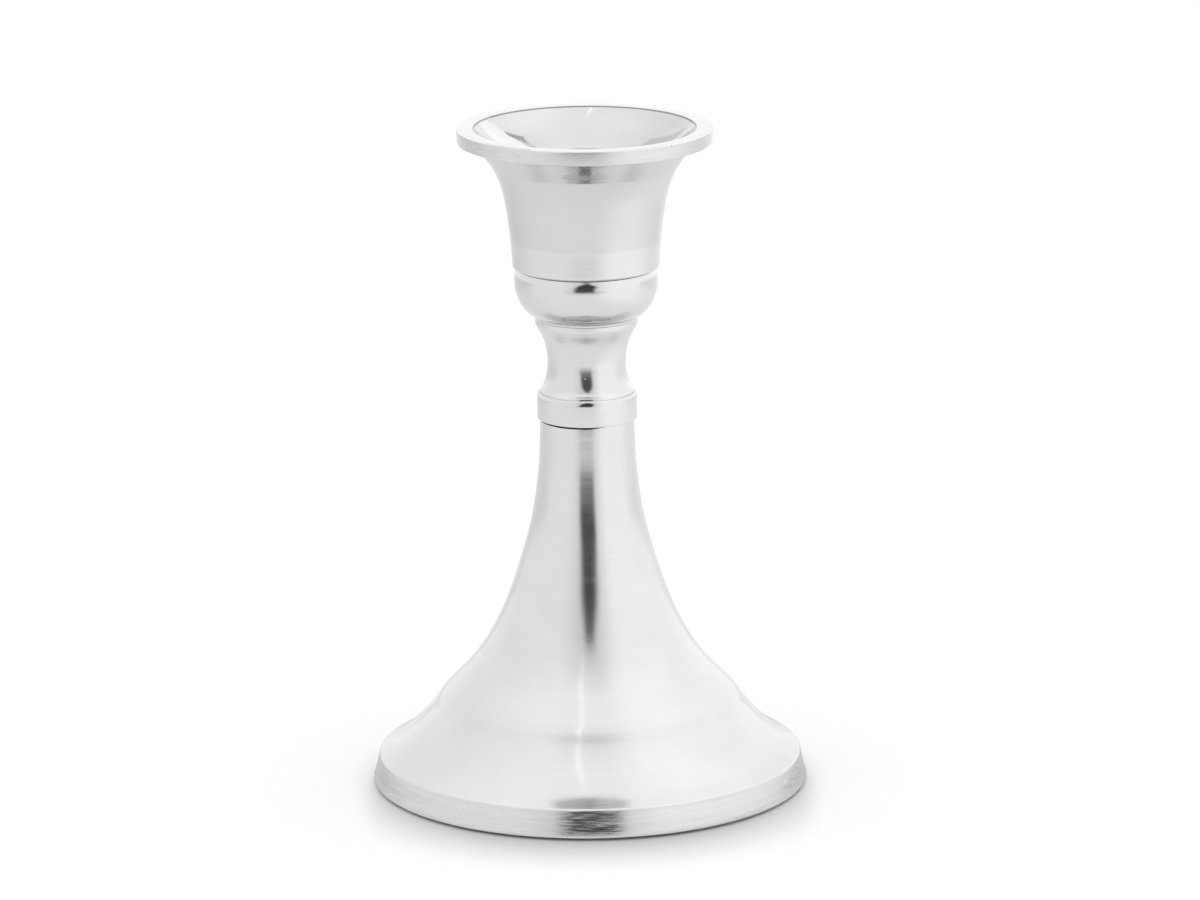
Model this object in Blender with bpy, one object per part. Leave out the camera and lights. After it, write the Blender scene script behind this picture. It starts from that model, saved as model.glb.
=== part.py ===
"""Altar candlestick for one 22 mm candle: five turned castings stacked on a tie rod.

The origin is on the surface that the candlestick stands on, on the turning axis. +Z is up.
Lengths are in metres. Each turned piece is drawn as half of its section, as (radius, height)
points, and is turned about Z.
"""

import math

import bmesh
import bpy
from mathutils import Matrix, Vector

MM = 0.001

# Driving dimensions
HEIGHT = 125.0 * MM
FOOT_RADIUS = 40.77 * MM
RIM_RADIUS = 23.8 * MM
CANDLE_RADIUS = 11.0 * MM

# Rounded edges, facets and clearances
EDGE = 0.3 * MM
SOCKET_EDGE = 0.5 * MM
COLLAR_EDGE = 0.45 * MM
TURNING_STEPS = 48
HOLE_STEPS = 24
SHARP_ANGLE = math.radians(30)
MERGE_DISTANCE = 0.001 * MM
SEAM = 0.3 * MM
THREAD_GAP = 0.2 * MM

# Where the castings meet, from the foot up
NECK_TOP = 69.6 * MM
COLLAR_BOTTOM = NECK_TOP + SEAM
COLLAR_TOP = 75.1 * MM
SPOOL_BOTTOM = COLLAR_TOP + SEAM
SPOOL_TOP = 89.2 * MM
KNOP_BOTTOM = SPOOL_TOP + SEAM
KNOP_TOP = 98.45 * MM
CUP_BOTTOM = KNOP_TOP + SEAM

# Radii where the castings meet
NECK_RADIUS = 8.83 * MM
COLLAR_RADIUS = 9.34 * MM
SPOOL_BOTTOM_RADIUS = 8.95 * MM
SPOOL_TOP_RADIUS = 9.65 * MM
KNOP_BOTTOM_RADIUS = 9.75 * MM
KNOP_TOP_RADIUS = 12.95 * MM
CUP_FOOT_RADIUS = 13.66 * MM
CUP_FOOT_CHAMFER = 0.3 * MM

# Candle cup
SOCKET_RADIUS = CANDLE_RADIUS + 0.25 * MM
SOCKET_FLOOR = HEIGHT - 21.0 * MM
SOCKET_MOUTH = HEIGHT - 6.3 * MM
RIM_BOTTOM = HEIGHT - 2.65 * MM
RIM_TAPER = 0.2 * MM
DISH_RADIUS = RIM_RADIUS - 3.1 * MM

# Spigots centre each casting in a recess in its neighbour
SPIGOT_RADIUS = 5.0 * MM
SPIGOT_LENGTH = 2.0 * MM
CUP_SPIGOT_RADIUS = 6.5 * MM
CUP_SPIGOT_LENGTH = 3.0 * MM
NECK_SPIGOT_RADIUS = 6.0 * MM
NECK_SPIGOT_LENGTH = 3.5 * MM

# Inside of the foot
FOOT_BOTTOM = 0.5 * MM
WEB_BOTTOM = 48.0 * MM
WEB_TOP = 53.0 * MM
CAVITY_TOP_RADIUS = 8.0 * MM
CAVITY_MOUTH_RADIUS = 34.6 * MM

# Felt ring, glued into a rebate in the foot's lower face
FELT_INNER_RADIUS = 35.1 * MM
FELT_OUTER_RADIUS = 39.3 * MM
FELT_THICKNESS = 1.0 * MM

# M6 tie rod and its fastening
ROD_RADIUS = 3.0 * MM
ROD_CHAMFER = 0.6 * MM
ROD_HOLE_RADIUS = 3.3 * MM
ROD_TOP = SOCKET_FLOOR - 2.3 * MM
ROD_OVERHANG = 2.4 * MM
WASHER_RADIUS = 6.0 * MM
WASHER_THICKNESS = 1.6 * MM
SPRING_WASHER_RADIUS = 5.4 * MM
SPRING_WASHER_THICKNESS = 1.5 * MM
SPRING_WASHER_GAP = math.radians(12)
SPRING_WASHER_RISE = 0.3 * MM
NUT_ACROSS_FLATS = 10.0 * MM
NUT_HEIGHT = 5.0 * MM
NUT_CHAMFER = 0.45 * MM

POLISHED_METAL = ("polished_metal", (0.80, 0.80, 0.81), 0.22, 1.0)
ZINC_STEEL = ("zinc_steel", (0.56, 0.57, 0.58), 0.38, 1.0)
BLACK_FELT = ("black_felt", (0.025, 0.025, 0.027), 0.95, 0.0)


def clear_scene():
    for obj in list(bpy.data.objects):
        bpy.data.objects.remove(obj)


def material(recipe):
    """The material of this (name, colour, roughness, metallic), made once."""
    name, colour, roughness, metallic = recipe
    if name in bpy.data.materials:
        return bpy.data.materials[name]
    made = bpy.data.materials.new(name)
    made.use_nodes = True
    shader = made.node_tree.nodes["Principled BSDF"]
    shader.inputs["Base Color"].default_value = (*colour, 1.0)
    shader.inputs["Roughness"].default_value = roughness
    shader.inputs["Metallic"].default_value = metallic
    return made


def finished(name, body, recipe):
    """Makes a bmesh body into a named object with its material."""
    bmesh.ops.recalc_face_normals(body, faces=body.faces)
    mesh = bpy.data.meshes.new(name)
    body.to_mesh(mesh)
    body.free()
    mesh.shade_smooth()
    mesh.set_sharp_from_angle(angle=SHARP_ANGLE)
    mesh.materials.append(material(recipe))
    obj = bpy.data.objects.new(name, mesh)
    bpy.context.scene.collection.objects.link(obj)
    return obj


def arc(centre, radius, start, end, steps):
    """Points on an arc in the section plane. Angles are in degrees, 0 outward and 90 up."""
    points = []
    for i in range(steps + 1):
        angle = math.radians(start + (end - start) * i / steps)
        points.append((centre[0] + radius * math.cos(angle), centre[1] + radius * math.sin(angle)))
    return points


def smooth_curve(stations, steps):
    """A centripetal Catmull-Rom curve through the stations, as a turner's template follows them."""
    points = [Vector(station) for station in stations]
    points = [2 * points[0] - points[1], *points, 2 * points[-1] - points[-2]]
    curve = []
    for before, start, end, after in zip(points, points[1:], points[2:], points[3:]):
        t0 = 0.0
        t1 = t0 + math.sqrt((start - before).length)
        t2 = t1 + math.sqrt((end - start).length)
        t3 = t2 + math.sqrt((after - end).length)
        for i in range(steps):
            t = t1 + (t2 - t1) * i / steps
            a1 = before.lerp(start, (t - t0) / (t1 - t0))
            a2 = start.lerp(end, (t - t1) / (t2 - t1))
            a3 = end.lerp(after, (t - t2) / (t3 - t2))
            b1 = a1.lerp(a2, (t - t0) / (t2 - t0))
            b2 = a2.lerp(a3, (t - t1) / (t3 - t1))
            curve.append(tuple(b1.lerp(b2, (t - t1) / (t2 - t1))))
    curve.append(tuple(points[-2]))
    return curve


def turned(name, outline, recipe, closed=True, steps=TURNING_STEPS):
    """Turns an outline about Z into one body. An outline that isn't closed ends on the axis."""
    body = bmesh.new()
    points = [body.verts.new((radius, 0.0, height)) for radius, height in outline]
    pairs = list(zip(points, points[1:]))
    if closed:
        pairs.append((points[-1], points[0]))
    edges = [body.edges.new(pair) for pair in pairs]
    bmesh.ops.spin(
        body,
        geom=points + edges,
        cent=(0.0, 0.0, 0.0),
        axis=(0.0, 0.0, 1.0),
        angle=2 * math.pi,
        steps=steps,
        use_merge=True,
    )
    bmesh.ops.remove_doubles(body, verts=body.verts, dist=MERGE_DISTANCE)
    return finished(name, body, recipe)


def spigot_below(radius, face, length):
    """The underside of a casting, from its lower face round the spigot to the rod's hole."""
    return [(radius, face), (radius, face - length), (ROD_HOLE_RADIUS, face - length)]


def recess_above(radius, face, depth):
    """The top of a casting, from the rod's hole round the recess to its upper face."""
    return [(ROD_HOLE_RADIUS, face - depth), (radius + SEAM, face - depth), (radius + SEAM, face)]


def candle_cup():
    """Flared cup with a flat rim, a shallow dish, the candle socket and a tapped boss below."""
    thread_radius = ROD_RADIUS + THREAD_GAP
    spigot_bottom = CUP_BOTTOM - CUP_SPIGOT_LENGTH
    outline = [(0.0, SOCKET_FLOOR), (SOCKET_RADIUS, SOCKET_FLOOR)]
    outline += arc(
        (SOCKET_RADIUS + SOCKET_EDGE, SOCKET_MOUTH - SOCKET_EDGE), SOCKET_EDGE, 180, 120, 2
    )
    outline += [
        (12.6 * MM, SOCKET_MOUTH + 0.7 * MM),
        (14.6 * MM, SOCKET_MOUTH + 1.7 * MM),
        (16.6 * MM, SOCKET_MOUTH + 2.8 * MM),
        (18.4 * MM, SOCKET_MOUTH + 4.1 * MM),
        (19.7 * MM, SOCKET_MOUTH + 5.3 * MM),
        (DISH_RADIUS - EDGE, HEIGHT - 0.2 * MM),
        (DISH_RADIUS, HEIGHT),
    ]
    outline += arc((RIM_RADIUS - EDGE, HEIGHT - EDGE), EDGE, 90, 0, 2)
    outline += arc((RIM_RADIUS - RIM_TAPER - EDGE, RIM_BOTTOM + EDGE), EDGE, 0, -90, 2)
    outline += smooth_curve(
        [
            (20.8 * MM, RIM_BOTTOM),
            (19.6 * MM, RIM_BOTTOM - 1.35 * MM),
            (18.3 * MM, RIM_BOTTOM - 3.15 * MM),
            (17.1 * MM, RIM_BOTTOM - 4.85 * MM),
            (15.75 * MM, RIM_BOTTOM - 7.95 * MM),
            (14.7 * MM, RIM_BOTTOM - 12.85 * MM),
            (14.0 * MM, RIM_BOTTOM - 18.35 * MM),
            (CUP_FOOT_RADIUS, CUP_BOTTOM + CUP_FOOT_CHAMFER),
        ],
        2,
    )
    outline += [
        (CUP_FOOT_RADIUS - CUP_FOOT_CHAMFER, CUP_BOTTOM),
        (CUP_SPIGOT_RADIUS, CUP_BOTTOM),
        (CUP_SPIGOT_RADIUS, spigot_bottom),
        (thread_radius, spigot_bottom),
        (thread_radius, ROD_TOP + SEAM),
        (0.0, ROD_TOP + SEAM),
    ]
    turned("candle_cup", outline, POLISHED_METAL, closed=False)


def knop():
    """Bowl-shaped bead, recessed for the cup's spigot."""
    outline = smooth_curve(
        [
            (KNOP_TOP_RADIUS, KNOP_TOP),
            (13.3 * MM, KNOP_TOP - 0.75 * MM),
            (13.38 * MM, KNOP_TOP - 1.7 * MM),
            (13.25 * MM, KNOP_TOP - 3.5 * MM),
            (12.4 * MM, KNOP_TOP - 6.2 * MM),
            (11.3 * MM, KNOP_TOP - 7.7 * MM),
            (KNOP_BOTTOM_RADIUS, KNOP_BOTTOM),
        ],
        2,
    )
    outline += spigot_below(SPIGOT_RADIUS, KNOP_BOTTOM, SPIGOT_LENGTH)
    outline += recess_above(CUP_SPIGOT_RADIUS, KNOP_TOP, CUP_SPIGOT_LENGTH)
    turned("knop", outline, POLISHED_METAL)


def stem_spool():
    """Waisted spool between the knop and the collar."""
    outline = smooth_curve(
        [
            (SPOOL_TOP_RADIUS, SPOOL_TOP),
            (9.3 * MM, SPOOL_TOP - 1.7 * MM),
            (8.0 * MM, SPOOL_TOP - 4.2 * MM),
            (7.3 * MM, SPOOL_TOP - 8.0 * MM),
            (7.75 * MM, SPOOL_TOP - 11.7 * MM),
            (8.25 * MM, SPOOL_TOP - 13.0 * MM),
            (SPOOL_BOTTOM_RADIUS, SPOOL_BOTTOM),
        ],
        2,
    )
    outline += spigot_below(SPIGOT_RADIUS, SPOOL_BOTTOM, SPIGOT_LENGTH)
    outline += recess_above(SPIGOT_RADIUS, SPOOL_TOP, SPIGOT_LENGTH)
    turned("stem_spool", outline, POLISHED_METAL)


def collar():
    """Plain ring that seats the stem on the foot's neck."""
    edge_radius = COLLAR_RADIUS - COLLAR_EDGE
    outline = [(SPOOL_BOTTOM_RADIUS, COLLAR_TOP)]
    outline += arc((edge_radius, COLLAR_TOP - COLLAR_EDGE), COLLAR_EDGE, 60, 0, 2)
    outline += arc((edge_radius, COLLAR_BOTTOM + COLLAR_EDGE), COLLAR_EDGE, 0, -90, 2)
    outline += spigot_below(NECK_SPIGOT_RADIUS, COLLAR_BOTTOM, NECK_SPIGOT_LENGTH)
    outline += recess_above(SPIGOT_RADIUS, COLLAR_TOP, SPIGOT_LENGTH)
    turned("collar", outline, POLISHED_METAL)


def foot():
    """Hollow trumpet foot with a web that the tie rod's nut pulls against."""
    neck_recess = NECK_SPIGOT_RADIUS + SEAM
    felt_recess = FELT_OUTER_RADIUS + SEAM
    rebate_top = FELT_THICKNESS + SEAM
    outline = arc((NECK_RADIUS - EDGE, NECK_TOP - EDGE), EDGE, 90, 30, 1)
    outline += smooth_curve(
        [
            (NECK_RADIUS, 67.7 * MM),
            (9.2 * MM, 60.5 * MM),
            (10.57 * MM, 51.0 * MM),
            (13.14 * MM, 41.6 * MM),
            (15.85 * MM, 34.0 * MM),
            (19.18 * MM, 27.4 * MM),
            (22.56 * MM, 22.7 * MM),
            (28.67 * MM, 16.1 * MM),
            (30.45 * MM, 13.3 * MM),
            (33.1 * MM, 10.4 * MM),
            (36.25 * MM, 7.5 * MM),
        ],
        2,
    )
    outline += [
        (37.8 * MM, 6.7 * MM),
        (39.65 * MM, 5.6 * MM),
        (40.45 * MM, 2.2 * MM),
        (FOOT_RADIUS, 1.0 * MM),
        (FOOT_RADIUS, FOOT_BOTTOM + EDGE),
        (FOOT_RADIUS - EDGE, FOOT_BOTTOM),
        (felt_recess, FOOT_BOTTOM),
        (felt_recess, rebate_top),
        (CAVITY_MOUTH_RADIUS, rebate_top),
        (34.0 * MM, 3.5 * MM),
        (30.0 * MM, 7.8 * MM),
        (25.8 * MM, 12.6 * MM),
        (22.4 * MM, 16.8 * MM),
        (19.4 * MM, 20.8 * MM),
        (16.4 * MM, 25.6 * MM),
        (13.6 * MM, 31.2 * MM),
        (11.0 * MM, 38.0 * MM),
        (CAVITY_TOP_RADIUS, WEB_BOTTOM),
        (ROD_HOLE_RADIUS, WEB_BOTTOM),
        (ROD_HOLE_RADIUS, WEB_TOP),
        (neck_recess, WEB_TOP),
        (neck_recess, NECK_TOP),
    ]
    turned("foot", outline, POLISHED_METAL)


def felt_ring():
    outline = [
        (FELT_OUTER_RADIUS, FELT_THICKNESS),
        (FELT_OUTER_RADIUS, 0.0),
        (FELT_INNER_RADIUS, 0.0),
        (FELT_INNER_RADIUS, FELT_THICKNESS),
    ]
    turned("felt_ring", outline, BLACK_FELT)


def tie_rod(bottom):
    """M6 rod, screwed into the cup's boss, drawn at its thread's outer diameter."""
    outline = [
        (0.0, ROD_TOP),
        (ROD_RADIUS - ROD_CHAMFER, ROD_TOP),
        (ROD_RADIUS, ROD_TOP - ROD_CHAMFER),
        (ROD_RADIUS, bottom + ROD_CHAMFER),
        (ROD_RADIUS - ROD_CHAMFER, bottom),
        (0.0, bottom),
    ]
    turned("tie_rod", outline, ZINC_STEEL, closed=False, steps=HOLE_STEPS)


def flat_washer(top):
    hole = ROD_RADIUS + THREAD_GAP
    bottom = top - WASHER_THICKNESS
    outline = [(WASHER_RADIUS, top), (WASHER_RADIUS, bottom), (hole, bottom), (hole, top)]
    turned("flat_washer", outline, ZINC_STEEL, steps=HOLE_STEPS)


def spring_washer(top):
    """Split ring of square wire, one end a little higher than the other."""
    hole = ROD_RADIUS + THREAD_GAP
    low = top - SPRING_WASHER_THICKNESS
    high = top - SPRING_WASHER_RISE
    section = [(hole, low), (SPRING_WASHER_RADIUS, low), (SPRING_WASHER_RADIUS, high), (hole, high)]
    body = bmesh.new()
    end = body.faces.new([body.verts.new((radius, 0.0, height)) for radius, height in section])
    bmesh.ops.spin(
        body,
        geom=[end],
        cent=(0.0, 0.0, 0.0),
        axis=(0.0, 0.0, 1.0),
        dvec=(0.0, 0.0, SPRING_WASHER_RISE / HOLE_STEPS),
        angle=2 * math.pi - SPRING_WASHER_GAP,
        steps=HOLE_STEPS,
    )
    finished("spring_washer", body, ZINC_STEEL)


def cut(obj, cutter, operation):
    """Adds a Boolean with a hidden cutter."""
    cutter.hide_render = True
    cutter.display_type = "WIRE"
    boolean = obj.modifiers.new(cutter.name, "BOOLEAN")
    boolean.operation = operation
    boolean.solver = "EXACT"
    boolean.object = cutter


def hex_nut(top):
    """M6 nut: a hexagonal bar, turned to chamfer its corners, and bored."""
    bottom = top - NUT_HEIGHT
    flat_radius = NUT_ACROSS_FLATS / 2
    corner_radius = flat_radius / math.cos(math.radians(30))
    body = bmesh.new()
    bmesh.ops.create_cone(
        body,
        cap_ends=True,
        segments=6,
        radius1=corner_radius,
        radius2=corner_radius,
        depth=NUT_HEIGHT,
        matrix=Matrix.Translation((0.0, 0.0, bottom + NUT_HEIGHT / 2)),
    )
    nut = finished("hex_nut", body, ZINC_STEEL)
    above = top + NUT_CHAMFER
    below = bottom - NUT_CHAMFER
    barrel = [
        (0.0, above),
        (flat_radius - NUT_CHAMFER, above),
        (flat_radius + 2 * NUT_CHAMFER, top - NUT_CHAMFER),
        (flat_radius + 2 * NUT_CHAMFER, bottom + NUT_CHAMFER),
        (flat_radius - NUT_CHAMFER, below),
        (0.0, below),
    ]
    bore_radius = ROD_RADIUS + THREAD_GAP
    bore = [(0.0, above), (bore_radius, above), (bore_radius, below), (0.0, below)]
    cut(nut, turned("nut_barrel", barrel, ZINC_STEEL, closed=False), "INTERSECT")
    cut(nut, turned("nut_bore", bore, ZINC_STEEL, closed=False, steps=HOLE_STEPS), "DIFFERENCE")


def fastening():
    """The rod's lower end: flat washer, spring washer and nut, pulled up against the web."""
    washer_top = WEB_BOTTOM - SEAM
    spring_top = washer_top - WASHER_THICKNESS - SEAM
    nut_top = spring_top - SPRING_WASHER_THICKNESS - SEAM
    flat_washer(washer_top)
    spring_washer(spring_top)
    hex_nut(nut_top)
    tie_rod(nut_top - NUT_HEIGHT - ROD_OVERHANG)


def main():
    clear_scene()
    candle_cup()
    knop()
    stem_spool()
    collar()
    foot()
    felt_ring()
    fastening()


main()
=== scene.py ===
import math

import bmesh
import bpy
from mathutils import Matrix, Vector


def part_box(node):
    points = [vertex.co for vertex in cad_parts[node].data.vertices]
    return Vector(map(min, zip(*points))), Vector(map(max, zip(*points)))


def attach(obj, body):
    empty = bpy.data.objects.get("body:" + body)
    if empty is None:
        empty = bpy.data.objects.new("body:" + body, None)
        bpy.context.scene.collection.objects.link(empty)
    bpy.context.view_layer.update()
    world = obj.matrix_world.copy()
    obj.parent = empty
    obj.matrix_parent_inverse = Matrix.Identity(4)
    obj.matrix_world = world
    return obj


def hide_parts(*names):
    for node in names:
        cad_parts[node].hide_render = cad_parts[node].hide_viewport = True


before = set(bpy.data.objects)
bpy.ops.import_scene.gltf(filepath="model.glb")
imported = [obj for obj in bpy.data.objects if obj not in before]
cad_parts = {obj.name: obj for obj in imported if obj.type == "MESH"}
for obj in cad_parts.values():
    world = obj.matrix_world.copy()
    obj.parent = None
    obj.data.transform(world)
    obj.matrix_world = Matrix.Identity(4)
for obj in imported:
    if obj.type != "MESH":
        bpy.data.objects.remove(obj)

MM = 0.001
DEGREE = math.radians(1.0)
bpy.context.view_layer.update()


def reach(node):
    """A turned node's greatest radius, and its lowest and highest place, in mm."""
    low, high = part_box(node)
    return (round(number / MM, 2) for number in (high[0], low[2], high[2]))


# The CAD's turned pieces, in mm. CUP_END and the like are where the spigot under a casting ends,
# inside the casting below.
RIM_RADIUS, CUP_END, RIM_TOP = reach("candle_cup")
KNOP_RADIUS, KNOP_END, KNOP_TOP = reach("knop")
_, SPOOL_END, SPOOL_TOP = reach("stem_spool")
COLLAR_RADIUS, COLLAR_END, COLLAR_TOP = reach("collar")
FOOT_RADIUS, FOOT_BOTTOM, NECK_TOP = reach("foot")
FELT_RADIUS, FELT_BOTTOM, FELT_TOP = reach("felt_ring")

# The CAD leaves the gap SEAM at each joint. It is closed by TIGHT, to what a clamped joint shows, or
# under the cup by GROOVE, which leaves a fine dark line.
SEAM = 0.3
TIGHT = 0.27
GROOVE = 0.2
CUP_FOOT = KNOP_TOP + SEAM
KNOP_FOOT = SPOOL_TOP + SEAM
SPOOL_FOOT = COLLAR_TOP + SEAM

# The joint under the collar isn't even: it is open round OPEN_AZIMUTH, and NECK_LIFT narrower opposite
COLLAR_FOOT = NECK_TOP + 0.5
NECK_FACE = NECK_TOP + 0.1
NECK_LIFT = 0.36
OPEN_AZIMUTH = 232 * DEGREE

# Inside the castings: the bores for the rod, and the radius and depth of the spigots
BORE = 3.3
BOSS_BORE = 3.2
SPIGOT = 5.0
SPIGOT_DEPTH = 2.0
CUP_SPIGOT = 6.5
CUP_SPIGOT_DEPTH = 3.0
NECK_SPIGOT = 6.0

# Candle cup
SOCKET_RADIUS = 11.25
SOCKET_FLOOR = RIM_TOP - 21.0
SOCKET_MOUTH = (11.5, RIM_TOP - 6.3)
DISH_RADIUS = 20.7
RIM_BOTTOM = RIM_TOP - 2.65
RIM_BOTTOM_RADIUS = RIM_RADIUS - 0.2
FLARE_TOP = (20.5, RIM_BOTTOM)
CUP_BASE_RADIUS = 13.36
CUP_BASE_EDGE = (13.66, CUP_FOOT + SEAM)

# Foot, with its hollow and the recess for the felt
NECK_RADIUS = 8.83
BAND_TOP = (39.65, 5.6)
BAND_BEND = (40.45, 2.2)
RECESS_RADIUS = FELT_RADIUS + SEAM
RECESS_TOP = FELT_TOP + SEAM
CAVITY_MOUTH = (34.6, RECESS_TOP)
CAVITY_TOP = (8.0, 48.0)
WEB_TOP = 53.0
FELT_HOLE = 35.1

# Fine steps of the turned pieces
AROUND = 224
CURVE_STEPS = 10
PLAIN_CURVE_STEPS = 5
CAVITY_STEPS = 4
EDGE_STEPS = 6
SHARP = 32 * DEGREE

# Bare metal: its shade, and how far apart in mm its lathe lines and scuffs are
METAL_SHADE = 0.60
FINE_LINES = 0.16
BROAD_LINES = 0.9
SCUFFS = 0.17

# Brightness of the white tent and the paper, and how far behind the axis the cards are, in metres
TENT_LEFT = 1.20
TENT_RIGHT = 1.40
TENT_TOP = 0.18
ROOM_LIGHT = 1.10
FLOOR_SHADE = 0.95
CARD_PLACE = 0.11


# Outlines


def smooth_curve(stations, steps=CURVE_STEPS):
    """A centripetal Catmull-Rom curve through the stations."""
    points = [Vector(station) for station in stations]
    points = [2 * points[0] - points[1], *points, 2 * points[-1] - points[-2]]
    curve = []
    for before, start, end, after in zip(points, points[1:], points[2:], points[3:]):
        t1 = math.sqrt((start - before).length)
        t2 = t1 + math.sqrt((end - start).length)
        t3 = t2 + math.sqrt((after - end).length)
        for i in range(steps):
            t = t1 + (t2 - t1) * i / steps
            a1 = before.lerp(start, t / t1)
            a2 = start.lerp(end, (t - t1) / (t2 - t1))
            a3 = end.lerp(after, (t - t2) / (t3 - t2))
            b1 = a1.lerp(a2, t / t2)
            b2 = a2.lerp(a3, (t - t1) / (t3 - t1))
            curve.append(tuple(b1.lerp(b2, (t - t1) / (t2 - t1))))
    curve.append(tuple(points[-2]))
    return curve


def nearest(points, place):
    """The index of the point nearest this place."""
    return min(range(len(points)), key=lambda i: (Vector(points[i]) - Vector(place)).length)


def along(points, index, step, distance):
    """The point this far along the outline from points[index], and the index it comes before."""
    here = Vector(points[index])
    while True:
        index += step
        there = Vector(points[index % len(points)])
        gap = (there - here).length
        if gap >= distance:
            return here.lerp(there, distance / gap), index
        distance -= gap
        here = there


def eased(points, corners):
    """Rounds the outline at each (corner, distance), starting this distance either side of it."""
    points = list(points)
    for corner, distance in corners:
        index = nearest(points, corner)
        first, low = along(points, index, -1, distance)
        last, high = along(points, index, 1, distance)
        middle = Vector(points[index])
        bend = []
        for i in range(EDGE_STEPS + 1):
            t = i / EDGE_STEPS
            bend.append(tuple(first.lerp(middle, t).lerp(middle.lerp(last, t), t)))
        points[low + 1 : high] = bend
    return points


# Meshes


def as_object(name, body, materials):
    bmesh.ops.recalc_face_normals(body, faces=body.faces)
    mesh = bpy.data.meshes.new(name)
    body.to_mesh(mesh)
    body.free()
    mesh.shade_smooth()
    mesh.set_sharp_from_angle(angle=SHARP)
    for material in materials:
        mesh.materials.append(material)
    obj = bpy.data.objects.new(name, mesh)
    bpy.context.scene.collection.objects.link(obj)
    return obj


def sheet(name, corners, material):
    """A flat piece with these corners, in metres."""
    body = bmesh.new()
    body.faces.new([body.verts.new(corner) for corner in corners])
    return as_object(name, body, [material])


def turned(name, outline, materials, raw=None, shift=None):
    """Turns an outline of (radius, height) in mm about Z. raw is the (first, last) place on the outline
    between which it takes the second material; shift moves a point by (radius, height, azimuth)."""
    first, last = (nearest(outline, place) for place in raw) if raw else (0, 0)
    body = bmesh.new()
    rings = []
    for radius, height in outline:
        ring = []
        for i in range(1 if radius == 0 else AROUND):
            azimuth = 2 * math.pi * i / AROUND
            r, z = shift(radius, height, azimuth) if shift else (radius, height)
            x, y = r * math.cos(azimuth), r * math.sin(azimuth)
            ring.append(body.verts.new((x * MM, y * MM, z * MM)))
        rings.append(ring)
    pairs = list(zip(rings, rings[1:]))
    if len(rings[0]) > 1:
        pairs.append((rings[-1], rings[0]))
    for number, (a, b) in enumerate(pairs):
        for i in range(AROUND):
            j = (i + 1) % AROUND
            corners = [a[i % len(a)], a[j % len(a)], b[j % len(b)], b[i % len(b)]]
            face = body.faces.new(list(dict.fromkeys(corners)))
            face.material_index = 1 if first <= number < last else 0
    return as_object(name, body, materials)


# Materials


class Nodes:
    """Short calls for a node tree: each makes one or a few nodes and returns the last one's output."""

    def __init__(self, owner):
        owner.use_nodes = True
        self.tree = owner.node_tree
        self.tree.nodes.clear()

    def node(self, kind, settings=None, **inputs):
        """A node, with attributes from settings and inputs by name, or by number as i0, i1 and so on."""
        made = self.tree.nodes.new(kind)
        for key, value in (settings or {}).items():
            setattr(made, key, value)
        for key, value in inputs.items():
            self.feed(made, key.replace("_", " "), value)
        return made

    def feed(self, made, key, value):
        socket = made.inputs[int(key[1:])] if key[0] == "i" and key[1:].isdigit() else made.inputs[key]
        if isinstance(value, bpy.types.NodeSocket):
            self.tree.links.new(value, socket)
        else:
            socket.default_value = value

    def maths(self, operation, a, b=0.0, c=0.0):
        return self.node("ShaderNodeMath", {"operation": operation}, i0=a, i1=b, i2=c).outputs[0]

    def times(self, *values):
        product, *others = values
        for other in others:
            product = self.maths("MULTIPLY", product, other)
        return product

    def add(self, value, mask, amount):
        """The value, plus this amount where the mask is 1."""
        return self.maths("MULTIPLY_ADD", mask, amount, value)

    def vary(self, value, noise, amount):
        """The value, raised and lowered by the noise."""
        return self.add(value, self.maths("SUBTRACT", noise, 0.5), amount)

    def change(self, value, mask, share):
        """The value, changed by this share of itself where the mask is 1."""
        return self.times(value, self.add(1.0, mask, share))

    def blend(self, a, b, mask):
        """a where the mask is 0 and b where it is 1."""
        return self.maths("MULTIPLY_ADD", self.maths("SUBTRACT", b, a), mask, a)

    def ramp(self, value, start, end, low=0.0, high=1.0):
        """Eases from low at start to high at end."""
        made = self.node("ShaderNodeMapRange", {"interpolation_type": "SMOOTHSTEP"}, Value=value)
        for key, limit in (("From Min", start), ("From Max", end), ("To Min", low), ("To Max", high)):
            self.feed(made, key, limit)
        return made.outputs[0]

    def xyz(self, x, y, z):
        return self.node("ShaderNodeCombineXYZ", X=x, Y=y, Z=z).outputs[0]

    def split(self, vector):
        return self.node("ShaderNodeSeparateXYZ", Vector=vector).outputs

    def length(self, vector):
        made = self.node("ShaderNodeVectorMath", {"operation": "LENGTH"}, i0=vector)
        return made.outputs["Value"]

    def azimuth(self, x, y):
        """The angle round Z from the front, the -Y side, in radians: -pi to pi, and + towards +X."""
        return self.maths("ARCTAN2", x, self.times(y, -1.0))

    def noise(self, vector, scale, detail=2.0, roughness=0.5, w=None):
        """Noise from 0 to 1, with about this many features to the vector's unit."""
        settings = {"noise_dimensions": "3D" if w is None else "4D", "normalize": True}
        made = self.node("ShaderNodeTexNoise", settings, Vector=vector, Scale=scale, Detail=detail)
        self.feed(made, "Roughness", roughness)
        if w is not None:
            self.feed(made, "W", w)
        return made.outputs[0]

    def grey(self, value):
        return self.node("ShaderNodeCombineColor", Red=value, Green=value, Blue=value).outputs[0]

    def bump(self, level):
        """The normal of a surface with this relief, in metres."""
        return self.node("ShaderNodeBump", Strength=1.0, Distance=1.0, Height=level).outputs[0]


def new_material(name):
    made = bpy.data.materials.new(name)
    return made, Nodes(made)


def shaded_point(nodes):
    """The shaded point: its vector, x, y, height and radius, in metres."""
    vector = nodes.node("ShaderNodeTexCoord").outputs["Object"]
    x, y, height = nodes.split(vector)
    return vector, x, y, height, nodes.length(nodes.xyz(x, y, 0.0))


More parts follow.
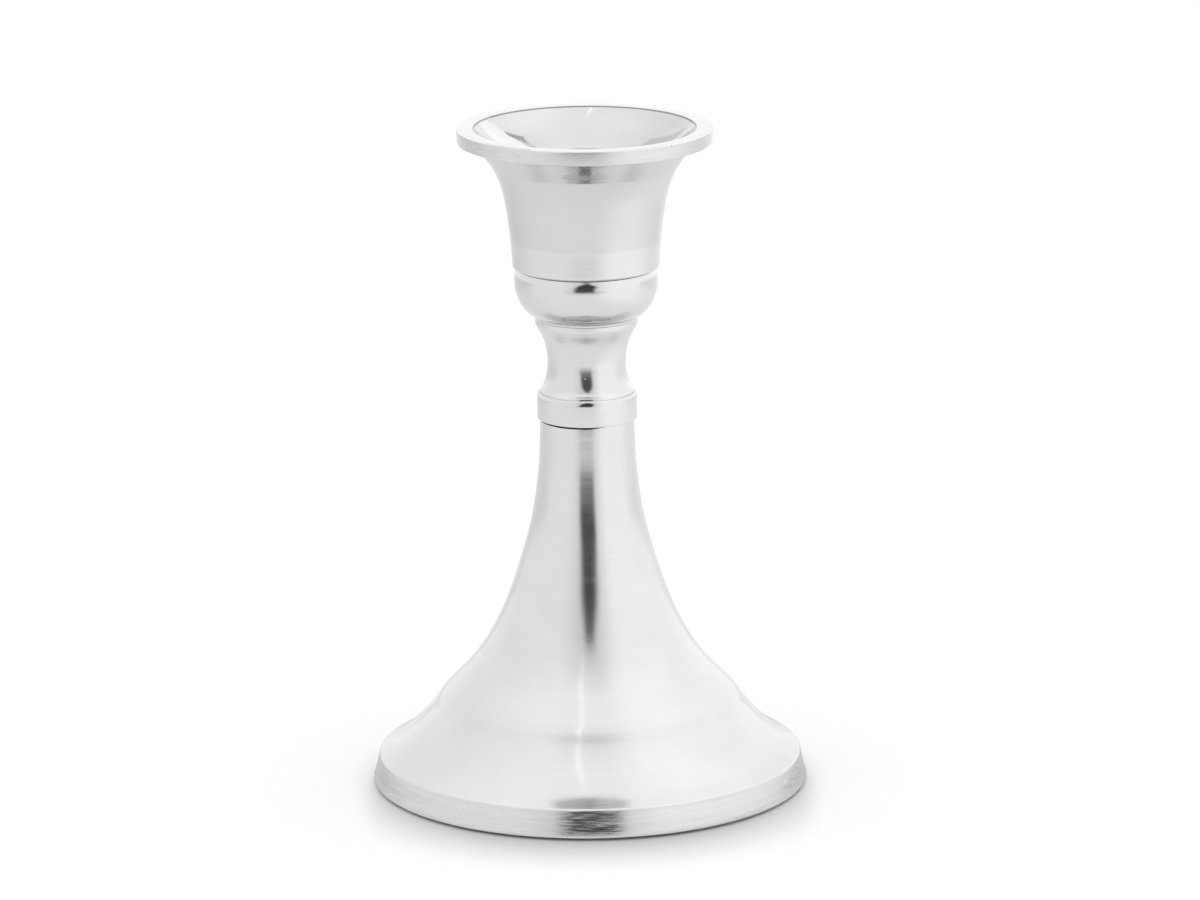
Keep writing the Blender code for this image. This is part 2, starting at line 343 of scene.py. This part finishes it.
def turning(nodes, x, y, height, radius, pitch, wander):
    """Noise in rings round the axis, this many metres apart, wandering a little round the ring."""
    cosine = nodes.maths("DIVIDE", x, radius)
    sine = nodes.maths("DIVIDE", y, radius)
    rings = nodes.xyz(
        nodes.times(radius, 1 / pitch),
        nodes.times(height, 1 / pitch),
        nodes.times(cosine, wander),
    )
    return nodes.noise(rings, 1.0, 1.0, 0.5, nodes.times(sine, wander))


def turned_metal(name, polish=0.17, band=None, dish=None):
    """Bare white metal with fine lathe lines, faint blotches and a few pits. polish is its roughness.
    band is the (radius from, bottom, top) in mm of an edge face that was left scuffed. dish is the
    (radius to, bottom) in mm of a hollow that was polished brighter, like the flat rim round it. Its
    colour has a little painted shade, and it ends in a ring of darker painted shade at its edge."""
    made, nodes = new_material(name)
    vector, x, y, height, radius = shaded_point(nodes)
    fine = turning(nodes, x, y, height, radius, FINE_LINES * MM, 1.5)
    broad = turning(nodes, x, y, height, radius, BROAD_LINES * MM, 0.8)
    cloud = nodes.noise(vector, 160.0, 3.0)
    blotch = nodes.noise(nodes.xyz(x, y, nodes.times(height, 2.5)), 1300.0, 3.0, 0.6)

    pits = nodes.node("ShaderNodeTexVoronoi", {"feature": "F1"}, Vector=vector, Scale=190.0)
    chance = nodes.node("ShaderNodeSeparateColor", Color=pits.outputs["Color"]).outputs[0]
    rare = nodes.maths("GREATER_THAN", chance, 0.93)
    pit = nodes.times(nodes.ramp(pits.outputs["Distance"], 0.015, 0.045, 1.0, 0.0), rare)

    level = nodes.times(fine, 0.0016 * MM)
    level = nodes.add(level, broad, 0.0035 * MM)
    level = nodes.add(level, blotch, 0.005 * MM)
    level = nodes.add(level, pit, -0.03 * MM)
    shade = nodes.vary(METAL_SHADE, cloud, 0.05)
    shade = nodes.vary(shade, fine, 0.04)
    shade = nodes.add(shade, pit, -0.35)
    rough = nodes.vary(polish, cloud, 0.6 * polish)
    rough = nodes.vary(rough, broad, 0.45 * polish)

    if dish:
        limit, bottom = (number * MM for number in dish)
        flat = nodes.ramp(height, (RIM_TOP - 0.1) * MM, (RIM_TOP - 0.05) * MM)
        bright = nodes.ramp(radius, limit, limit - 0.1 * MM)
        bright = nodes.times(bright, nodes.ramp(height, bottom, bottom + 0.3 * MM))
        rough = nodes.change(rough, nodes.maths("MAXIMUM", bright, flat), -0.6)
        # Painted shade: the ring at the dish's edge is made much darker in colour, and the rest of the
        # dish a little darker
        line = nodes.times(bright, nodes.ramp(radius, limit - 0.45 * MM, limit - 0.3 * MM))
        shade = nodes.add(shade, bright, -0.045)
        shade = nodes.add(shade, line, -0.34)
    rough = nodes.add(rough, pit, 0.3)

    if band:
        start, bottom, top = (number * MM for number in band)
        edge = nodes.times(
            nodes.ramp(radius, start, start + 0.1 * MM),
            nodes.ramp(height, bottom, bottom + 0.1 * MM),
            nodes.ramp(height, top, top - 0.15 * MM),
        )
        scuff = turning(nodes, x, y, height, radius, SCUFFS * MM, 13.0)
        spots = nodes.times(nodes.maths("SUBTRACT", scuff, 0.5), edge)
        streaks = nodes.times(nodes.maths("SUBTRACT", broad, 0.5), edge)
        matt = nodes.times(nodes.ramp(scuff, 0.48, 0.66), edge)
        level = nodes.add(level, spots, 0.006 * MM)
        rough = nodes.add(rough, matt, 0.15)
        shade = nodes.add(shade, edge, -0.03)
        shade = nodes.add(shade, spots, 0.16)
        shade = nodes.add(shade, streaks, 0.08)

    shader = nodes.node("ShaderNodeBsdfPrincipled", Metallic=1.0, Roughness=rough)
    nodes.feed(shader, "Base Color", nodes.grey(shade))
    nodes.feed(shader, "Normal", nodes.bump(level))
    nodes.feed(shader, "Anisotropic", 0.75)
    nodes.feed(shader, "Anisotropic Rotation", 0.25)
    tangent = nodes.node("ShaderNodeTangent", {"direction_type": "RADIAL", "axis": "Z"})
    nodes.feed(shader, "Tangent", tangent.outputs[0])
    nodes.node("ShaderNodeOutputMaterial", Surface=shader.outputs[0])
    return made


def raw_casting(name):
    """Dull, sandy skin of the casting where it was never turned."""
    made, nodes = new_material(name)
    vector, *_ = shaded_point(nodes)
    sand = nodes.noise(vector, 2600.0, 4.0, 0.65)
    cloud = nodes.noise(vector, 220.0, 3.0)
    shade = nodes.vary(nodes.vary(0.50, cloud, 0.18), sand, 0.20)
    shader = nodes.node("ShaderNodeBsdfPrincipled", Metallic=1.0)
    nodes.feed(shader, "Base Color", nodes.grey(shade))
    nodes.feed(shader, "Roughness", nodes.add(0.45, sand, 0.2))
    nodes.feed(shader, "Normal", nodes.bump(nodes.times(sand, 0.10 * MM)))
    nodes.node("ShaderNodeOutputMaterial", Surface=shader.outputs[0])
    return made


def zinc_plate(name):
    """Bright zinc plate on steel: cool grey with a faint straw bloom."""
    made, nodes = new_material(name)
    vector, x, y, height, radius = shaded_point(nodes)
    lines = turning(nodes, x, y, height, radius, 0.2 * MM, 2.0)
    cloud = nodes.noise(vector, 700.0, 3.0)
    mix = nodes.node("ShaderNodeMix", {"data_type": "RGBA"}, Factor=nodes.ramp(cloud, 0.35, 0.65))
    nodes.feed(mix, "i6", (0.50, 0.53, 0.56, 1.0))
    nodes.feed(mix, "i7", (0.60, 0.58, 0.52, 1.0))
    shader = nodes.node("ShaderNodeBsdfPrincipled", Metallic=1.0)
    nodes.feed(shader, "Base Color", mix.outputs[2])
    nodes.feed(shader, "Roughness", nodes.add(0.22, cloud, 0.25))
    nodes.feed(shader, "Normal", nodes.bump(nodes.times(lines, 0.004 * MM)))
    nodes.node("ShaderNodeOutputMaterial", Surface=shader.outputs[0])
    return made


def felt(name):
    """Black pressed felt, with matted fibres."""
    made, nodes = new_material(name)
    vector, *_ = shaded_point(nodes)
    fibres = nodes.noise(vector, 5200.0, 4.0, 0.7)
    tufts = nodes.noise(vector, 1300.0, 2.0)
    level = nodes.add(nodes.times(tufts, 0.08 * MM), fibres, 0.06 * MM)
    shader = nodes.node("ShaderNodeBsdfPrincipled", Roughness=0.95, Normal=nodes.bump(level))
    nodes.feed(shader, "Base Color", nodes.grey(nodes.add(0.012, fibres, 0.035)))
    nodes.feed(shader, "Sheen Weight", 0.25)
    nodes.node("ShaderNodeOutputMaterial", Surface=shader.outputs[0])
    return made


SATIN = turned_metal("satin_turned_metal")
BRIGHT = turned_metal("bright_turned_metal", polish=0.10)
CUP_METAL = turned_metal(
    "cup_turned_metal",
    band=(RIM_RADIUS - 0.5, RIM_BOTTOM - 0.05, RIM_TOP - 0.05),
    dish=(DISH_RADIUS + 0.06, SOCKET_FLOOR - 0.1),
)
FOOT_METAL = turned_metal(
    "foot_turned_metal",
    band=(BAND_TOP[0] - 0.15, FOOT_BOTTOM - 0.1, BAND_TOP[1]),
)
RAW = raw_casting("raw_casting")
ZINC = zinc_plate("zinc_plate")
FELT = felt("pressed_felt")


# Pieces


def stands_for(obj, node):
    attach(obj, "root")
    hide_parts(node)


def candle_cup():
    """Flared cup with a flat rim, a shallow dish, and a candle socket with an unturned inside."""
    socket_shoulder = (SOCKET_RADIUS, SOCKET_MOUTH[1] - 0.5)
    outline = [(0.0, SOCKET_FLOOR), (SOCKET_RADIUS, SOCKET_FLOOR), socket_shoulder, SOCKET_MOUTH]
    outline += smooth_curve(
        [
            (11.75, 118.9),
            (12.6, 119.4),
            (14.6, 120.4),
            (16.6, 121.5),
            (18.4, 122.8),
            (19.7, 124.0),
            (20.4, 124.8),
        ],
        PLAIN_CURVE_STEPS,
    )
    outline += [(DISH_RADIUS, RIM_TOP), (RIM_RADIUS, RIM_TOP), (RIM_BOTTOM_RADIUS, RIM_BOTTOM)]
    outline += smooth_curve(
        [
            FLARE_TOP,
            (19.75, 121.3),
            (18.7, 119.8),
            (17.64, 118.3),
            (17.12, 117.5),
            (15.75, 114.4),
            (14.7, 109.5),
            (14.0, 104.0),
            CUP_BASE_EDGE,
        ]
    )
    outline += [
        (CUP_BASE_RADIUS, CUP_FOOT),
        (CUP_SPIGOT, CUP_FOOT),
        (CUP_SPIGOT, CUP_END),
        (BOSS_BORE, CUP_END),
        (BOSS_BORE, SOCKET_FLOOR - 2.0),
        (0.0, SOCKET_FLOOR - 2.0),
    ]
    outline = eased(
        outline,
        [
            (socket_shoulder, 0.3),
            ((DISH_RADIUS, RIM_TOP), 0.14),
            ((RIM_RADIUS, RIM_TOP), 0.1),
            ((RIM_BOTTOM_RADIUS, RIM_BOTTOM), 0.2),
            (FLARE_TOP, 0.15),
            (CUP_BASE_EDGE, 0.1),
            ((CUP_BASE_RADIUS, CUP_FOOT), 0.08),
        ],
    )
    inside = ((0.0, SOCKET_FLOOR), SOCKET_MOUTH)
    made = turned("candle_cup_turned", outline, [CUP_METAL, RAW], raw=inside)
    stands_for(made, "candle_cup")


def knop():
    """Bowl-shaped bead."""
    top = KNOP_TOP + GROOVE
    bottom = KNOP_FOOT - TIGHT
    recess = KNOP_TOP - CUP_SPIGOT_DEPTH
    outline = [(12.7, top)]
    outline += smooth_curve(
        [
            (12.95, 98.55),
            (13.22, 97.9),
            (13.35, 97.1),
            (KNOP_RADIUS, 96.1),
            (13.2, 94.6),
            (12.4, 92.25),
            (11.3, 90.75),
            (9.75, KNOP_FOOT),
        ]
    )
    outline += [(9.7, bottom), (SPIGOT, bottom), (SPIGOT, KNOP_END), (BORE, KNOP_END)]
    outline += [(BORE, recess), (CUP_SPIGOT + SEAM, recess), (CUP_SPIGOT + SEAM, top)]
    stands_for(turned("knop_turned", outline, [BRIGHT]), "knop")


def stem_spool():
    """Waisted spool."""
    bottom = SPOOL_FOOT - TIGHT
    recess = SPOOL_TOP - SPIGOT_DEPTH
    outline = [(SPIGOT + SEAM, recess), (SPIGOT + SEAM, SPOOL_TOP), (9.5, SPOOL_TOP)]
    outline += smooth_curve(
        [
            (9.62, 89.05),
            (9.55, 88.2),
            (9.2, 87.4),
            (8.0, 85.0),
            (7.3, 81.2),
            (7.75, 77.5),
            (8.25, 76.2),
            (8.95, SPOOL_FOOT),
        ]
    )
    outline += [(8.98, bottom), (SPIGOT, bottom), (SPIGOT, SPOOL_END)]
    outline += [(BORE, SPOOL_END), (BORE, recess)]
    stands_for(turned("stem_spool_turned", outline, [SATIN]), "stem_spool")


def collar():
    """Plain ring with a rounded shoulder."""
    recess = COLLAR_TOP - SPIGOT_DEPTH
    outline = [(SPIGOT + SEAM, recess), (SPIGOT + SEAM, COLLAR_TOP)]
    shoulder = [(9.0, COLLAR_TOP), (9.17, 74.85), (9.27, 74.55), (9.33, 74.15), (COLLAR_RADIUS, 73.85)]
    outline += smooth_curve(shoulder, PLAIN_CURVE_STEPS)
    outline += [(COLLAR_RADIUS, COLLAR_FOOT), (NECK_SPIGOT, COLLAR_FOOT)]
    outline += [(NECK_SPIGOT, COLLAR_END), (BORE, COLLAR_END), (BORE, recess)]
    outline = eased(outline, [((COLLAR_RADIUS, COLLAR_FOOT), 0.12)])
    stands_for(turned("collar_turned", outline, [BRIGHT]), "collar")


def foot():
    """Hollow trumpet foot with a low ledge and a scuffed edge band, as cast inside."""
    outline = [(NECK_SPIGOT + SEAM, NECK_FACE), (NECK_RADIUS, NECK_FACE)]
    outline += smooth_curve(
        [
            (NECK_RADIUS, NECK_FACE - 2.0),
            (9.2, 60.5),
            (10.57, 51.0),
            (13.14, 41.6),
            (15.85, 34.0),
            (19.18, 27.4),
            (22.56, 22.7),
            (27.9, 17.0),
            (29.3, 14.9),
            (31.0, 12.75),
            (33.1, 10.4),
            (35.2, 8.5),
            (36.4, 7.55),
            (37.5, 6.82),
            (38.6, 6.19),
            BAND_TOP,
        ]
    )
    outline += [BAND_BEND, (FOOT_RADIUS, FOOT_BOTTOM + 0.5), (FOOT_RADIUS, FOOT_BOTTOM)]
    outline += [(RECESS_RADIUS, FOOT_BOTTOM), (RECESS_RADIUS, RECESS_TOP)]
    outline += smooth_curve(
        [
            CAVITY_MOUTH,
            (34.0, 3.5),
            (30.0, 7.8),
            (25.8, 12.6),
            (22.4, 16.8),
            (19.4, 20.8),
            (16.4, 25.6),
            (13.6, 31.2),
            (11.0, 38.0),
            CAVITY_TOP,
        ],
        CAVITY_STEPS,
    )
    outline += [(BORE, CAVITY_TOP[1]), (BORE, WEB_TOP), (NECK_SPIGOT + SEAM, WEB_TOP)]
    outline = eased(
        outline,
        [
            ((NECK_RADIUS, NECK_FACE), 0.12),
            (BAND_TOP, 0.35),
            (BAND_BEND, 0.3),
            ((FOOT_RADIUS, FOOT_BOTTOM), 0.25),
            (CAVITY_MOUTH, 0.4),
            (CAVITY_TOP, 0.8),
        ],
    )

    def lift_neck(radius, height, azimuth):
        share = max(0.0, min(1.0, (height - (NECK_FACE - 2.1)) / 1.6))
        shut = max(0.0, min(1.0, (0.85 - math.cos(azimuth - OPEN_AZIMUTH)) / 0.45))
        return radius, height + NECK_LIFT * share * shut * shut * (3 - 2 * shut)

    inside = (CAVITY_MOUTH, (BORE, WEB_TOP))
    made = turned("foot_turned", outline, [FOOT_METAL, RAW], raw=inside, shift=lift_neck)
    stands_for(made, "foot")


def felt_ring():
    """Felt ring glued into the foot's recess."""
    outer = (FELT_RADIUS, FELT_BOTTOM)
    inner = (FELT_HOLE, FELT_BOTTOM)
    outline = [(FELT_RADIUS, FELT_TOP), outer, inner, (FELT_HOLE, FELT_TOP)]
    outline = eased(outline, [(outer, 0.3), (inner, 0.3)])
    stands_for(turned("felt_ring_pressed", outline, [FELT]), "felt_ring")


candle_cup()
knop()
stem_spool()
collar()
foot()
felt_ring()
for name in ("tie_rod", "flat_washer", "spring_washer", "hex_nut"):
    for piece_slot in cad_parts[name].material_slots:
        piece_slot.material = ZINC


# Stage


def floor():
    """White paper, with a soft shadow painted in front of the foot. What the metal mirrors of it is
    painted dimmer on the left, behind the foot and far in front, and brighter again far behind."""
    made, nodes = new_material("white_floor")
    _, x, y, _, radius = shaded_point(nodes)

    azimuth = nodes.maths("ABSOLUTE", nodes.azimuth(x, y))
    # Painted shade in what the metal mirrors of the floor: close behind the foot, and far in front
    front = nodes.times(nodes.ramp(radius, 0.24, 0.90), nodes.ramp(azimuth, 0.70, 0.17))
    painted_shade_near_foot = nodes.times(nodes.ramp(radius, 0.10, 0.045), nodes.ramp(y, -0.02, 0.005))
    tone = nodes.times(
        nodes.ramp(x, 0.04, 0.20, 1.07, 1.26),
        nodes.ramp(y, -0.1, 0.3, 1.0, 0.80),
        nodes.ramp(y, 0.35, 1.5, 1.0, 1.3),
    )
    tone = nodes.change(tone, painted_shade_near_foot, -0.3)
    tone = nodes.change(tone, front, -0.88)

    # Painted shadow: the paper's colour is darkened in front of the foot, on top of the soft shade the
    # room light casts
    distance = nodes.length(nodes.xyz(x, nodes.maths("ADD", y, 0.008), 0.0))
    shadow = nodes.times(
        nodes.ramp(distance, 0.020, 0.054, 0.58, 0.0),
        nodes.ramp(nodes.maths("ABSOLUTE", x), 0.0445, 0.0385),
        nodes.ramp(y, 0.006, -0.008),
    )
    paper = nodes.add(FLOOR_SHADE, shadow, -FLOOR_SHADE)

    mirrored = nodes.node("ShaderNodeLightPath").outputs["Is Glossy Ray"]
    shader = nodes.node("ShaderNodeBsdfDiffuse", Color=nodes.grey(nodes.blend(paper, tone, mirrored)))
    nodes.node("ShaderNodeOutputMaterial", Surface=shader.outputs[0])
    corners = [(-3.0, -0.75, 0.0), (3.0, -0.75, 0.0), (3.0, 3.0, 0.0), (-3.0, 3.0, 0.0)]
    sheet("floor", corners, made)


def card(name, tone, corners):
    """A small card behind the rim, with its corners at (x, z) in metres, seen only in the metal."""
    made, nodes = new_material(name)
    light = nodes.node("ShaderNodeEmission", Color=(tone, tone, tone, 1.0))
    nodes.node("ShaderNodeOutputMaterial", Surface=light.outputs[0])
    piece = sheet(name, [(x, CARD_PLACE, z) for x, z in corners], made)
    piece.visible_camera = piece.visible_diffuse = piece.visible_shadow = False


def cards():
    """What the dish mirrors: a white and a grey card on its left, and a pale grey one on its right."""
    card(
        "card_bright",
        1.58,
        [
            (0.018, 0.158),
            (0.058, 0.158),
            (0.078, 0.178),
            (0.078, 0.206),
            (0.058, 0.2095),
            (0.045, 0.204),
            (0.033, 0.203),
            (0.022, 0.197),
        ],
    )
    card(
        "card_left",
        0.65,
        [
            (0.058, 0.210),
            (0.045, 0.2045),
            (0.033, 0.2035),
            (0.0325, 0.212),
            (0.041, 0.2285),
            (0.056, 0.2175),
        ],
    )
    card(
        "card_right",
        0.95,
        [(-0.037, 0.157), (-0.012, 0.157), (-0.012, 0.205), (-0.034, 0.205)],
    )


def tent():
    """A white tent: brighter on the right, above and low at the back. It is open to a dark room at the
    front, and dimmer round the opening, with a seam of light over it. Plain white to the camera."""
    world = bpy.data.worlds.new("tent")
    bpy.context.scene.world = world
    nodes = Nodes(world)
    x, y, z = nodes.split(nodes.node("ShaderNodeTexCoord").outputs["Generated"])
    azimuth = nodes.azimuth(x, y)
    away = nodes.maths("ABSOLUTE", azimuth)
    elevation = nodes.maths("ARCSINE", z)

    tone = nodes.ramp(x, 0.08, 0.65, TENT_LEFT, TENT_RIGHT)
    tone = nodes.maths("ADD", tone, nodes.ramp(elevation, 25 * DEGREE, 70 * DEGREE, 0.0, TENT_TOP))

    from_ring = nodes.maths("ABSOLUTE", nodes.maths("SUBTRACT", elevation, 11.5 * DEGREE))
    low_back = nodes.times(
        nodes.ramp(away, 168 * DEGREE, 175 * DEGREE),
        nodes.ramp(from_ring, 8 * DEGREE, 3 * DEGREE),
    )

    centre = nodes.ramp(elevation, -5 * DEGREE, 12 * DEGREE, -3 * DEGREE, 1 * DEGREE)
    half_width = nodes.ramp(elevation, 8 * DEGREE, 38 * DEGREE, 16 * DEGREE, 6 * DEGREE)
    off_centre = nodes.maths("ABSOLUTE", nodes.maths("SUBTRACT", azimuth, centre))
    opening = nodes.times(
        nodes.ramp(nodes.maths("SUBTRACT", off_centre, half_width), 5 * DEGREE, -5 * DEGREE),
        nodes.ramp(elevation, 38.5 * DEGREE, 35.5 * DEGREE),
    )
    halo = nodes.times(
        nodes.ramp(away, 45 * DEGREE, 8 * DEGREE),
        nodes.ramp(elevation, 70 * DEGREE, 44 * DEGREE),
    )

    across = nodes.times(azimuth, nodes.ramp(elevation, 46 * DEGREE, 60 * DEGREE, 1.4, 1.0))
    seam = nodes.times(
        nodes.ramp(across, -17 * DEGREE, -12.5 * DEGREE),
        nodes.ramp(across, -10.2 * DEGREE, -11 * DEGREE),
        nodes.ramp(elevation, 38 * DEGREE, 48 * DEGREE),
    )

    for patch, share in ((low_back, 0.06), (seam, 0.35), (halo, -0.20), (opening, -0.93)):
        tone = nodes.change(tone, patch, share)

    path = nodes.node("ShaderNodeLightPath").outputs
    plain = nodes.add(ROOM_LIGHT, path["Is Camera Ray"], 1.0 - ROOM_LIGHT)
    strength = nodes.blend(plain, tone, path["Is Glossy Ray"])
    light = nodes.node("ShaderNodeBackground", Color=(1.0, 1.0, 1.0, 1.0), Strength=strength)
    nodes.node("ShaderNodeOutputWorld", Surface=light.outputs[0])


def camera():
    """A long lens, a little above the rim, looking down and rolled slightly."""
    data = bpy.data.cameras.new("camera")
    data.lens = 189.0
    data.sensor_width = 36.0
    data.clip_start = 0.05
    data.clip_end = 20.0
    made = bpy.data.objects.new("camera", data)
    bpy.context.scene.collection.objects.link(made)
    position = Matrix.Translation((0.00234, -1.14103, 0.35019))
    tilt = Matrix.Rotation((90 - 14.1) * DEGREE, 4, "X")
    roll = Matrix.Rotation(-0.466 * DEGREE, 4, "Z")
    made.matrix_world = position @ tilt @ roll
    bpy.context.scene.camera = made


floor()
cards()
tent()
camera()
bpy.context.scene.view_settings.view_transform = "Standard"
